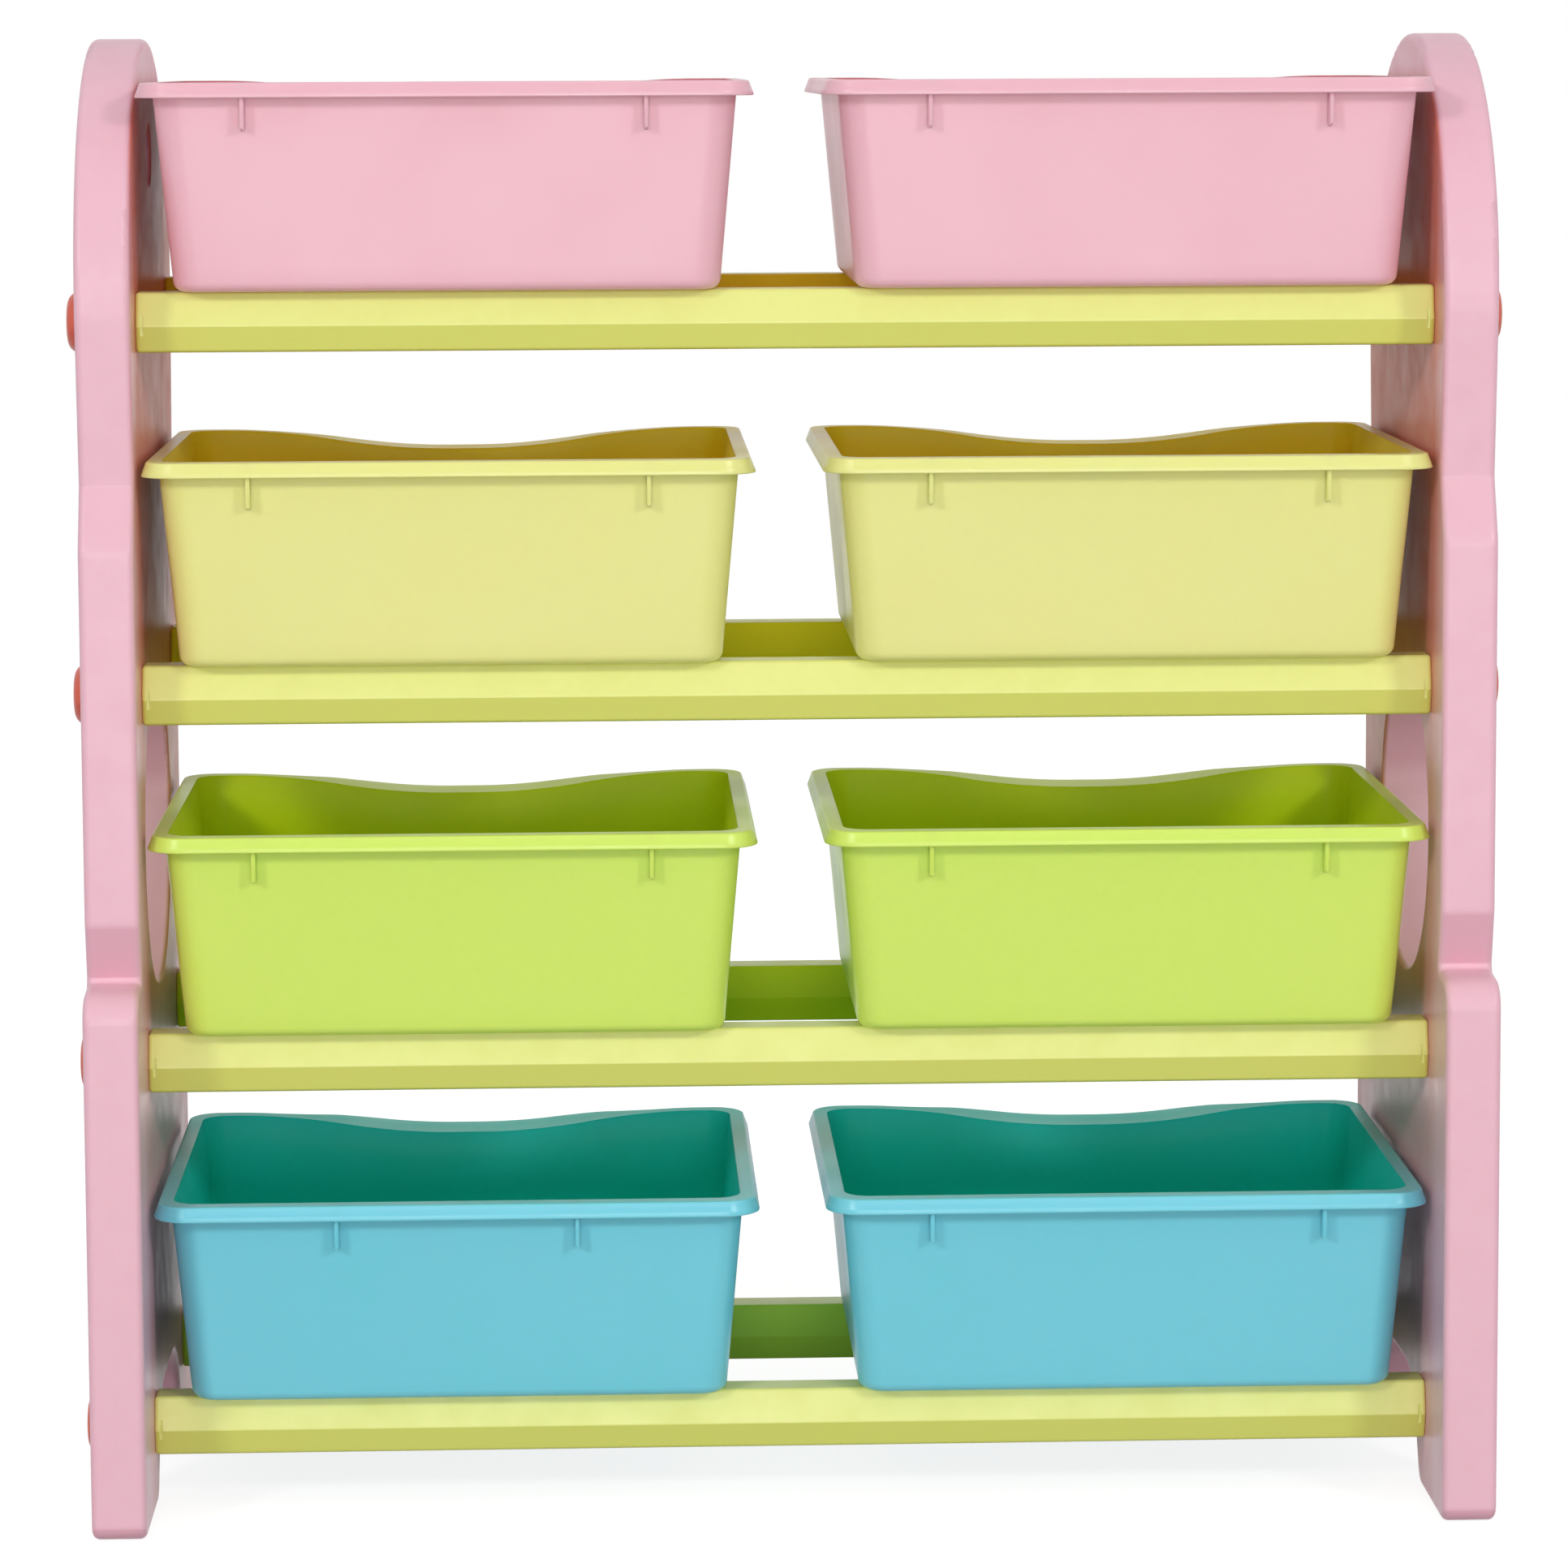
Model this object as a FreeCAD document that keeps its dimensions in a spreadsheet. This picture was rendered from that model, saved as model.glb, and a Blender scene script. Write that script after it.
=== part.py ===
import FreeCAD, Part
import math
import os
import Sketcher

# Four-tier toy storage organizer: two arched side panels, eight rails and eight pull-out bins.
# Millimetres. +X is the right-hand side, the front faces -Y, +Z is up. The origin is on the floor, under
# the middle of the organizer.

doc = FreeCAD.newDocument("ToyBinOrganizer")

# ---------------------------------------------------------------------------------------------
# Sizes
# ---------------------------------------------------------------------------------------------

SIZES = [
    # the whole frame
    ("overall_width", 844, "outer face to outer face of the side panels"),
    ("lowest_seat", 71, "floor to the top of the bottom rails"),
    ("tier_pitch", 224, "top of one pair of rails to the top of the next"),
    ("rail_span", 254, "front of the front rail to the back of the rear rail"),
    ("rail_shift", 6, "how far the rails' middle lies behind the panels' middle"),
    # side panels, hollow blow-moulded shells
    ("panel_thickness", 33, "side panel, inner face to outer face"),
    ("panel_skin", 2.6, "moulded wall of a side panel"),
    ("panel_rounding", 4.5, "rounding all round both faces of a side panel"),
    ("head_rise", 150.5, "top of the arched head above the top seat"),
    ("head_inset", 5, "widest part of the head in from the body"),
    ("head_flat", 6, "flat at the very top, between the head's two arcs"),
    ("head_straight", 10, "upright side of the head below its arc"),
    ("head_easing", 60, "bend where that side leans in to the waist"),
    ("rail_margin", 28, "body of the panel beyond the rear rail"),
    ("upper_neck_rise", 110.5, "waist under the head, above the third seat"),
    ("upper_neck_inset", 15, "depth of that waist"),
    ("shoulder_drop", 37, "start of the body's shoulder below the waist"),
    ("lower_neck_rise", 38, "waist over the base, above the second seat"),
    ("lower_neck_inset", 9, "depth of that waist"),
    ("body_foot_rise", 36, "end of the body's straight side above the lower waist"),
    ("base_step", 26, "base of the panel beyond its body, front and rear"),
    ("base_ledge", 4, "fall of the base's top from the waist to its edge"),
    ("base_rounding", 18, "rounded top edge of the base"),
    ("shoulder_rounding", 20, "rounded ends of the body"),
    ("neck_rounding", 3, "hollow of both waists"),
    ("foot_rounding", 10, "rounded toe and heel of a foot"),
    ("foot_length", 95, "toe of a foot to the arch between the feet"),
    ("arch_height", 62, "arch between the feet"),
    ("arch_flare", 30, "lean of the arch's sides"),
    ("arch_rounding", 45, "rounded top of the arch"),
    ("heel_rounding", 15, "rounded corner where the arch meets the floor"),
    ("porthole_margin", 17, "round body hole short of half a tier, top and bottom"),
    ("porthole_shift", 12, "round body hole in front of the panel's middle"),
    ("finger_hole_radius", 18, "small round hole in the head"),
    ("finger_hole_drop", 71, "small round hole below the top of the head"),
    ("hole_rounding", 3, "rounded rim of both holes"),
    # rails, hollow blow-moulded bars
    ("rail_depth", 32, "rail, front crease to rear crease"),
    ("rail_height", 36, "rail, top to bottom"),
    ("rail_crease_drop", 20, "crease below the rail's top"),
    ("rail_top_inset", 5, "top edge behind the crease"),
    ("rail_foot_inset", 4, "bottom edge behind the crease"),
    ("rail_rounding", 2.5, "rounded long edges of a rail"),
    ("rail_skin", 2.4, "moulded wall of a rail"),
    ("rail_end_block", 42, "solid end of a rail, which takes the screw"),
    ("rail_end_rounding", 2.3, "rounded edge all round a rail's end"),
    ("rail_nick_margin", 3, "nick in the ridge near a rail's end, in from the end"),
    ("rail_nick_width", 2, "nick, along the rail"),
    ("rail_nick_height", 12, "nick, up and down"),
    ("rail_nick_depth", 2, "nick, in from the ridge"),
    ("tenon_length", 5, "square tenon on a rail's end"),
    ("tenon_inset", 6, "tenon in from the rail's four sides"),
    ("tenon_clearance", 0.3, "play of a tenon in its socket"),
    # screws, large moulded plastic ones
    ("cap_radius", 18.5, "domed head of a screw"),
    ("cap_height", 8, "domed head of a screw"),
    ("cap_slot_width", 3.2, "coin slot in the head"),
    ("cap_slot_length", 24, "coin slot in the head"),
    ("cap_slot_depth", 3.6, "coin slot in the head"),
    ("shank_radius", 5, "core of the shank"),
    ("thread_radius", 6, "crest of the thread"),
    ("thread_pitch", 6, "crest to crest"),
    ("thread_reach", 30, "shank inside the rail"),
    ("bore_clearance", 0.2, "play of the thread's crest in its bore, on the radius"),
    ("bore_boss", 20, "solid boss round each screw, radius"),
    # bins, injection-moulded tubs with a turned-down rim
    ("side_gap", 3, "bin's rim to the side panel"),
    ("middle_gap", 40, "rim to rim between the two bins of a tier"),
    ("front_overhang", 33, "bin's rim in front of the front rail"),
    ("rear_overhang", 13, "bin's rim behind the rear rail"),
    ("bin_height", 124, "bottom to top of the rim"),
    ("bin_wall", 2.2, "moulded wall of a bin"),
    ("bin_floor", 2.6, "bottom of a bin"),
    ("bin_rest", 0.3, "bottom of a bin over the rails"),
    ("rim_overhang", 12, "rim beyond the front and rear walls"),
    ("side_overhang", 9.5, "rim beyond the end walls"),
    ("lip_height", 9, "turned-down edge of the rim"),
    ("side_draft", 11, "lean of each end wall, top to bottom"),
    ("front_draft", 9, "lean of the front and rear walls, top to bottom"),
    ("rim_rounding", 22, "corner of the rim, seen from above"),
    ("wall_rounding", 17, "upright corner of a bin"),
    ("bottom_rounding", 6, "rounded bottom edge of a bin"),
    ("rear_band", 15, "rear band of the rim that follows the dip, in from the rear wall's face"),
    ("scoop_outer", 135, "where the rear rim starts to dip, from the bin's middle"),
    ("scoop_inner", 25, "where the rear rim's dip is full, from the bin's middle"),
    ("scoop_drop", 14, "dip of the rear rim"),
    ("scoop_rounding", 300, "easy curve of the dip"),
    ("lip_outer", 115, "where the pull lip starts, from the bin's middle"),
    ("lip_inner", 70, "where the pull lip is full, from the bin's middle"),
    ("lip_reach", 24, "pull lip behind the rest of the rear rim"),
    ("lip_rounding", 60, "easy curve of the pull lip"),
    ("gusset_spacing", 238, "between the two ribs under the front rim"),
    ("gusset_spacing_narrow", 145, "the same on the bottom left bin"),
    ("gusset_drop", 20, "rib below the rim's turned-down edge"),
    ("gusset_depth", 8, "rib out from the front wall's top"),
    ("gusset_root", 6, "rib's start behind the front wall's face, before the hollow is cut"),
    ("gusset_slant", 2, "rise of the rib's foot towards its front"),
    ("gusset_thickness", 2, "rib under the front rim"),
]

sheet = doc.addObject("Spreadsheet::Sheet", "Sizes")
for row, (alias, number, meaning) in enumerate(SIZES, start=1):
    sheet.set(f"A{row}", alias)
    sheet.set(f"B{row}", str(number))
    sheet.set(f"C{row}", meaning)
    sheet.setAlias(f"B{row}", alias)
doc.recompute()


class Size:
    """A length from the sheet, or one worked out from such lengths: its number and its formula."""

    def __init__(self, number, formula):
        self.number = float(number)
        self.formula = formula

    def __add__(self, other):
        other = as_size(other)
        return Size(self.number + other.number, f"({self.formula} + {other.formula})")

    def __sub__(self, other):
        other = as_size(other)
        return Size(self.number - other.number, f"({self.formula} - {other.formula})")

    def __mul__(self, factor):
        return Size(self.number * factor, f"({self.formula} * {factor})")

    def __truediv__(self, factor):
        return Size(self.number / factor, f"({self.formula} / {factor})")

    def __neg__(self):
        return self * -1

    __radd__ = __add__
    __rmul__ = __mul__


def as_size(thing):
    """A plain number as a Size; a Size as it is."""
    return thing if isinstance(thing, Size) else Size(thing, str(thing))


def from_sheet(alias):
    """The Size held by one cell of the sheet."""
    return Size(sheet.get(alias), f"Sizes.{alias}")


def bind(thing, name, size):
    """Ties a property of an object to its Size."""
    thing.setExpression(name, as_size(size).formula)


ZERO = as_size(0)
ORIGIN_POINT = (-1, 1)
START, END, CENTRE = range(1, 4)
TIERS = ("bottom", "lower", "upper", "top")
SIDES = (("left", -1), ("right", 1))

# ---------------------------------------------------------------------------------------------
# Sketch and feature helpers
# ---------------------------------------------------------------------------------------------


def add_rules(sketch, rules):
    """Adds sketch constraints, given as tuples; a Size at the end of one drives it by its formula."""
    built = []
    for rule in rules:
        plain = [part.number if isinstance(part, Size) else part for part in rule]
        built.append(Sketcher.Constraint(*plain))
    first = sketch.ConstraintCount
    sketch.addConstraint(built)
    for number, rule in enumerate(rules, start=first):
        if isinstance(rule[-1], Size):
            sketch.setExpression(f"Constraints[{number}]", rule[-1].formula)


def point_rules(geometry, end, across, up):
    """Rules that tie one point of a sketch to two Sizes, measured from the sketch's origin."""
    return [
        ("DistanceX", *ORIGIN_POINT, geometry, end, as_size(across)),
        ("DistanceY", *ORIGIN_POINT, geometry, end, as_size(up)),
    ]


def rounded_corner(spot, back, ahead, radius):
    """The arc that rounds one corner, its two ends, and whether the outline turns left there."""
    half_angle = back.getAngle(ahead) / 2
    run = radius / math.tan(half_angle)
    arrive, leave = spot + back * run, spot + ahead * run
    middle = spot + (back + ahead).normalize() * (radius / math.sin(half_angle))
    turns_left = back.cross(ahead).z < 0
    first, last = (arrive, leave) if turns_left else (leave, arrive)
    angles = [math.atan2(end.y - middle.y, end.x - middle.x) for end in (first, last)]
    arc = Part.ArcOfCircle(Part.Circle(middle, FreeCAD.Vector(0, 0, 1), radius), *angles)
    return arc, arrive, leave, turns_left


def outline(sketch, corners):
    """Draws a closed outline of straight runs, its corners (across, up, radius) rounded by tangent arcs."""
    spots = [FreeCAD.Vector(as_size(u).number, as_size(v).number, 0) for u, v, _ in corners]
    count = len(corners)
    rounded = []
    for here, (_, _, radius) in enumerate(corners):
        back = (spots[here - 1] - spots[here]).normalize()
        ahead = (spots[(here + 1) % count] - spots[here]).normalize()
        if radius:
            rounded.append(rounded_corner(spots[here], back, ahead, as_size(radius).number))
        else:
            rounded.append((None, spots[here], spots[here], None))
    runs = [Part.LineSegment(rounded[here][2], rounded[(here + 1) % count][1]) for here in range(count)]
    lines = sketch.addGeometry(runs)

    rules = []
    for here, (across, up, radius) in enumerate(corners):
        before, after = lines[here - 1], lines[here]
        if not radius:
            rules.append(("Coincident", before, END, after, START))
            rules += point_rules(after, START, across, up)
            continue
        arc = sketch.addGeometry(rounded[here][0])
        corner = sketch.addGeometry(Part.Point(spots[here]), True)
        entry, leaving = (START, END) if rounded[here][3] else (END, START)
        rules.append(("Tangent", before, END, arc, entry))
        rules.append(("Tangent", arc, leaving, after, START))
        rules.append(("Radius", arc, as_size(radius)))
        rules.append(("PointOnObject", corner, START, before))
        rules.append(("PointOnObject", corner, START, after))
        rules += point_rules(corner, START, across, up)
    add_rules(sketch, rules)


def ring(sketch, across, up, radius):
    """Draws a circle."""
    middle = FreeCAD.Vector(as_size(across).number, as_size(up).number, 0)
    circle = sketch.addGeometry(Part.Circle(middle, FreeCAD.Vector(0, 0, 1), as_size(radius).number))
    add_rules(sketch, [("Radius", circle, as_size(radius))] + point_rules(circle, CENTRE, across, up))


def block(left, right, low, high, radius=None):
    """The four corners of an upright rectangle, for outline()."""
    return [(left, low, radius), (right, low, radius), (right, high, radius), (left, high, radius)]


def body_sketch(body, name, plane, away=ZERO):
    """An empty sketch on one of a body's own planes, moved off it by a Size."""
    sketch = body.newObject("Sketcher::SketchObject", name)
    home = [feature for feature in body.Origin.OriginFeatures if feature.Role == plane][0]
    sketch.AttachmentSupport = (home, "")
    sketch.MapMode = "FlatFace"
    bind(sketch, "AttachmentOffset.Base.z", away)
    return sketch


def pad(body, sketch, name, length, reverse=False, midplane=False):
    """Adds a sketch's outline, extruded."""
    feature = body.newObject("PartDesign::Pad", name)
    feature.Profile = sketch
    feature.Reversed = reverse
    feature.Midplane = midplane
    bind(feature, "Length", length)
    doc.recompute()
    return feature


def pocket(body, sketch, name, length=None, reverse=False, midplane=False):
    """Cuts a sketch's outline out, to a depth or, with none given, right through."""
    before = body.Shape.Volume
    feature = body.newObject("PartDesign::Pocket", name)
    feature.Profile = sketch
    feature.Reversed = reverse
    feature.Midplane = midplane
    if length is None:
        feature.Type = "ThroughAll"
    else:
        bind(feature, "Length", length)
    doc.recompute()
    if body.Shape.Volume > before - 1:
        raise RuntimeError(f"{name} cut nothing")
    return feature


def fillet(body, base, name, radius, chosen):
    """Rounds the edges of a feature that a test picks."""
    picked = [f"Edge{number}" for number, edge in enumerate(base.Shape.Edges, start=1) if chosen(edge)]
    feature = body.newObject("PartDesign::Fillet", name)
    feature.Base = (base, picked)
    bind(feature, "Radius", radius)
    doc.recompute()
    return feature


def up_the_tiers(body, name, sketch, originals):
    """Repeats features once for each tier, upwards."""
    pattern = body.newObject("PartDesign::LinearPattern", name)
    pattern.Originals = originals
    pattern.Direction = (sketch, ["V_Axis"])
    bind(pattern, "Length", from_sheet("tier_pitch") * (len(TIERS) - 1))
    pattern.Occurrences = len(TIERS)
    body.Tip = pattern
    doc.recompute()
    return pattern


def place_copy(label, pattern, place, turn=0):
    """One more piece to the same pattern: a link moved by three Sizes and turned about Z, in degrees."""
    link = doc.addObject("App::Link", label)
    link.LinkedObject = pattern
    link.Placement = FreeCAD.Placement(FreeCAD.Vector(), FreeCAD.Rotation(FreeCAD.Vector(0, 0, 1), turn))
    for axis, size in zip("xyz", place):
        bind(link, "Placement.Base." + axis, size)
    return link


def lies_at(edge, axis, place):
    """True for an edge that lies wholly in the plane where one coordinate has the given value."""
    box = edge.BoundBox
    low, high = getattr(box, axis + "Min"), getattr(box, axis + "Max")
    return abs(low - place) < 0.01 and abs(high - place) < 0.01


# ---------------------------------------------------------------------------------------------
# Places that several pieces share
# ---------------------------------------------------------------------------------------------

panel_thickness = from_sheet("panel_thickness")
rail_length = from_sheet("overall_width") - panel_thickness * 2
inner_face = rail_length / 2
front_rail_front = from_sheet("rail_shift") - from_sheet("rail_span") / 2
rear_rail_front = front_rail_front + from_sheet("rail_span") - from_sheet("rail_depth")
screw_in_rail = from_sheet("rail_depth") / 2
screw_drop = from_sheet("rail_height") / 2
bore_radius = from_sheet("thread_radius") + from_sheet("bore_clearance")


def seat(tier):
    """Height of a tier's seat, the flat top of its rails."""
    return from_sheet("lowest_seat") + from_sheet("tier_pitch") * tier


# ---------------------------------------------------------------------------------------------
# Side panels: blow-moulded hollow shells with an arched head, two waists and two feet
# ---------------------------------------------------------------------------------------------

body_half = from_sheet("rail_span") / 2 + from_sheet("rail_shift") + from_sheet("rail_margin")
base_half = body_half + from_sheet("base_step")
head_half = body_half - from_sheet("head_inset")
head_radius = head_half - from_sheet("head_flat") / 2
panel_top = seat(3) + from_sheet("head_rise")


def panel_half_outline(inset):
    """Corners of a panel's front edge from the toe to the top, moved in from the real edge by a Size."""
    lower_neck = seat(1) + from_sheet("lower_neck_rise")
    upper_neck = seat(2) + from_sheet("upper_neck_rise")
    rounding = from_sheet("neck_rounding") + inset
    return [
        (base_half - inset, inset, from_sheet("foot_rounding") - inset / 2),
        (base_half - inset, lower_neck - from_sheet("base_ledge") - inset, from_sheet("base_rounding")),
        (body_half - from_sheet("lower_neck_inset") - inset, lower_neck, rounding),
        (body_half - inset, lower_neck + from_sheet("body_foot_rise"), from_sheet("shoulder_rounding")),
        (body_half - inset, upper_neck - from_sheet("shoulder_drop"), from_sheet("shoulder_rounding")),
        (body_half - from_sheet("upper_neck_inset") - inset, upper_neck, rounding),
        (head_half - inset, panel_top - head_radius - from_sheet("head_straight"), from_sheet("head_easing")),
        (head_half - inset, panel_top - inset, head_radius - inset),
    ]


def panel_outline(inset):
    """Corners of a whole panel, counter-clockwise from the front toe's side of the arch."""
    front = panel_half_outline(inset)
    arch_half = base_half - from_sheet("foot_length") + inset
    arch_top_half = arch_half - from_sheet("arch_flare")
    arch = [
        (arch_half, inset, from_sheet("heel_rounding")),
        (arch_top_half, from_sheet("arch_height") + inset, from_sheet("arch_rounding") + inset),
    ]
    rear_side = [arch[0]] + front
    front_side = [(-depth, height, radius) for depth, height, radius in reversed(rear_side)]
    arch_roof = [(-arch[1][0], arch[1][1], arch[1][2]), arch[1]]
    return rear_side + front_side + arch_roof


def make_panel(label):
    """The right side panel, hollow, with its two holes and the seats for the rails."""
    body = doc.addObject("PartDesign::Body", label)
    skin = from_sheet("panel_skin")
    faces = (0, panel_thickness.number)

    profile = body_sketch(body, label + "_outline", "YZ_Plane")
    outline(profile, panel_outline(ZERO))
    slab = pad(body, profile, label + "_slab", panel_thickness)
    fillet(body, slab, label + "_edge", from_sheet("panel_rounding"),
           lambda edge: any(lies_at(edge, "X", face) for face in faces))
    hollow = body_sketch(body, label + "_hollow_outline", "YZ_Plane", skin)
    outline(hollow, panel_outline(skin * 2))
    pocket(body, hollow, label + "_hollow", panel_thickness - skin * 2, reverse=True)

    make_panel_holes(body, skin, faces)
    make_rail_seats(body)
    bind(body, "Placement.Base.x", inner_face)
    return body


def make_panel_holes(body, skin, faces):
    """The large round hole and the small one, each walled through the hollow, with rounded rims."""
    porthole_radius = from_sheet("tier_pitch") / 2 - from_sheet("porthole_margin")
    holes = (
        (-from_sheet("porthole_shift"), seat(1) + from_sheet("tier_pitch") / 2, porthole_radius),
        (ZERO, panel_top - from_sheet("finger_hole_drop"), from_sheet("finger_hole_radius")),
    )
    collars = body_sketch(body, body.Label + "_collar_rings", "YZ_Plane")
    openings = body_sketch(body, body.Label + "_hole_rings", "YZ_Plane")
    for across, up, radius in holes:
        ring(collars, across, up, radius + from_sheet("hole_rounding") + skin)
        ring(openings, across, up, radius)
    pad(body, collars, body.Label + "_collars", panel_thickness)
    cut = pocket(body, openings, body.Label + "_holes", reverse=True)
    radii = [radius.number for _, _, radius in holes]
    fillet(body, cut, body.Label + "_hole_edge", from_sheet("hole_rounding"),
           lambda edge: is_hole_edge(edge, faces, radii))


def make_rail_seats(body):
    """For every rail a solid boss, a bore for its screw and a socket for its tenon."""
    play = from_sheet("tenon_clearance")
    half_depth = from_sheet("rail_depth") / 2 - from_sheet("tenon_inset") + play
    half_height = from_sheet("rail_height") / 2 - from_sheet("tenon_inset") + play
    up = seat(0) - screw_drop
    bosses = body_sketch(body, body.Label + "_boss_rings", "YZ_Plane")
    bores = body_sketch(body, body.Label + "_bore_rings", "YZ_Plane")
    sockets = body_sketch(body, body.Label + "_socket_outlines", "YZ_Plane")
    for front in (front_rail_front, rear_rail_front):
        across = front + screw_in_rail
        ring(bosses, across, up, from_sheet("bore_boss"))
        ring(bores, across, up, bore_radius)
        outline(sockets, block(across - half_depth, across + half_depth, up - half_height, up + half_height))
    boss = pad(body, bosses, body.Label + "_boss", panel_thickness)
    up_the_tiers(body, body.Label + "_bosses", bosses, [boss])
    bore = pocket(body, bores, body.Label + "_bore", reverse=True)
    depth = from_sheet("tenon_length") + play
    socket = pocket(body, sockets, body.Label + "_socket", depth, reverse=True)
    up_the_tiers(body, body.Label + "_seats", sockets, [bore, socket])


def make_mirror_image(label, piece):
    """The same piece for the other side of the organizer."""
    twin = doc.addObject("Part::Mirroring", label)
    twin.Source = piece
    twin.Base = FreeCAD.Vector(0, 0, 0)
    twin.Normal = FreeCAD.Vector(1, 0, 0)
    return twin


def is_hole_edge(edge, faces, radii):
    """True for a full circle of one of the given radii that lies in one of a panel's two faces."""
    if not isinstance(edge.Curve, Part.Circle):
        return False
    fits = any(abs(edge.Curve.Radius - radius) < 0.01 for radius in radii)
    return fits and any(lies_at(edge, "X", face) for face in faces)


# ---------------------------------------------------------------------------------------------
# Rails: blow-moulded hollow bars with a shallow ridge along the front and rear
# ---------------------------------------------------------------------------------------------


def rail_section(inset):
    """Corners of a rail's section, its front crease at 0 and its top at 0, moved in by a Size."""
    depth, height = from_sheet("rail_depth"), from_sheet("rail_height")
    top_in, foot_in = from_sheet("rail_top_inset"), from_sheet("rail_foot_inset")
    rounding = from_sheet("rail_rounding")
    front = [
        (top_in + inset, -inset, rounding),
        (inset, -from_sheet("rail_crease_drop"), rounding),
        (foot_in + inset, inset - height, rounding),
    ]
    rear = [(depth - across, up, radius) for across, up, radius in reversed(front)]
    return front + rear


def cut_rail_nicks(body):
    """A small upright nick in both ridges of a rail, near each of its ends."""
    nicks = body_sketch(body, "rail_nick_outlines", "XY_Plane", -from_sheet("rail_crease_drop"))
    deep, depth = from_sheet("rail_nick_depth"), from_sheet("rail_depth")
    outside = 1
    for end in (-1, 1):
        near = (inner_face - from_sheet("rail_nick_margin")) * end
        far = near - from_sheet("rail_nick_width") * end
        for low, high in ((-outside, deep), (depth - deep, depth + outside)):
            outline(nicks, block(near, far, low, high))
    pocket(body, nicks, "rail_nicks", from_sheet("rail_nick_height"), midplane=True)


def make_rail():
    """One rail, with a tenon on each end and a bore for the screws."""
    body = doc.addObject("PartDesign::Body", "rail")
    profile = body_sketch(body, "rail_section", "YZ_Plane")
    outline(profile, rail_section(ZERO))
    bar = pad(body, profile, "rail_bar", rail_length, midplane=True)
    ends = (-inner_face.number, inner_face.number)
    fillet(body, bar, "rail_end_edge", from_sheet("rail_end_rounding"),
           lambda edge: any(lies_at(edge, "X", end) for end in ends))
    cut_rail_nicks(body)

    inset = from_sheet("tenon_inset")
    tenons = body_sketch(body, "rail_tenon_section", "YZ_Plane")
    outline(tenons, block(inset, from_sheet("rail_depth") - inset, inset - from_sheet("rail_height"), -inset))
    pad(body, tenons, "rail_tenons", rail_length + from_sheet("tenon_length") * 2, midplane=True)

    hollow = body_sketch(body, "rail_hollow_section", "YZ_Plane")
    outline(hollow, rail_section(from_sheet("rail_skin")))
    pocket(body, hollow, "rail_hollow", rail_length - from_sheet("rail_end_block") * 2, midplane=True)
    bore = body_sketch(body, "rail_bore_ring", "YZ_Plane")
    ring(bore, screw_in_rail, -screw_drop, bore_radius)
    pocket(body, bore, "rail_bore", rail_length * 2, midplane=True)
    return body


# ---------------------------------------------------------------------------------------------
# Screws: large moulded plastic ones, put in from outside, one at each end of every rail
# ---------------------------------------------------------------------------------------------


def make_screw():
    """One screw. The underside of its head is at X = 0, the head towards +X, on the X axis."""
    body = doc.addObject("PartDesign::Body", "screw")
    core, crest = from_sheet("shank_radius"), from_sheet("thread_radius")
    cap, rise = from_sheet("cap_radius"), from_sheet("cap_height")
    pitch, tip = from_sheet("thread_pitch"), -(panel_thickness + from_sheet("thread_reach"))
    profile = body_sketch(body, "screw_profile", "XY_Plane")
    corners = [(rise, ZERO, None), (rise, cap, rise - 0.4), (ZERO, cap, None), (ZERO, core, None)]
    for turn in range(5):
        foot = -panel_thickness - pitch * turn
        corners += [(foot, core, None), (foot - pitch / 3, crest, None), (foot - pitch / 2, crest, None),
                    (foot - pitch * 0.8, core, None)]
    corners += [(tip, core - 1, None), (tip, ZERO, None)]
    outline(profile, corners)
    turned = body.newObject("PartDesign::Revolution", "screw_turned")
    turned.Profile = profile
    turned.ReferenceAxis = (profile, ["H_Axis"])
    turned.Angle = 360
    doc.recompute()
    slot = body_sketch(body, "screw_slot_outline", "YZ_Plane", rise)
    half_length, half_width = from_sheet("cap_slot_length") / 2, from_sheet("cap_slot_width") / 2
    outline(slot, block(-half_length, half_length, -half_width, half_width))
    pocket(body, slot, "screw_slot", from_sheet("cap_slot_depth"))
    return body


def make_screw_set(label, side, front, screw):
    """The four screws that hold one end of the front or the rear rails, as separate solids."""
    group = doc.addObject("Part::Compound", label)
    outer_face = (inner_face + panel_thickness) * side
    turn = 0 if side > 0 else 180
    links = []
    for tier, name in enumerate(TIERS):
        place = (outer_face, front + screw_in_rail, seat(tier) - screw_drop)
        links.append(place_copy(f"{name}_{label}", screw, place, turn))
    group.Links = links
    return group


# ---------------------------------------------------------------------------------------------
# Bins: injection-moulded tubs with leaning walls, a turned-down rim and a scooped pull lip at the rear
# ---------------------------------------------------------------------------------------------

bin_half_width = (rail_length - from_sheet("side_gap") * 2 - from_sheet("middle_gap")) / 4
bin_half_depth = (from_sheet("rail_span") + from_sheet("front_overhang") + from_sheet("rear_overhang")) / 2
bin_height = from_sheet("bin_height")
wall_half_width = bin_half_width - from_sheet("side_overhang")
wall_half_depth = bin_half_depth - from_sheet("rim_overhang")
split = wall_half_depth - from_sheet("rear_band")


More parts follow.
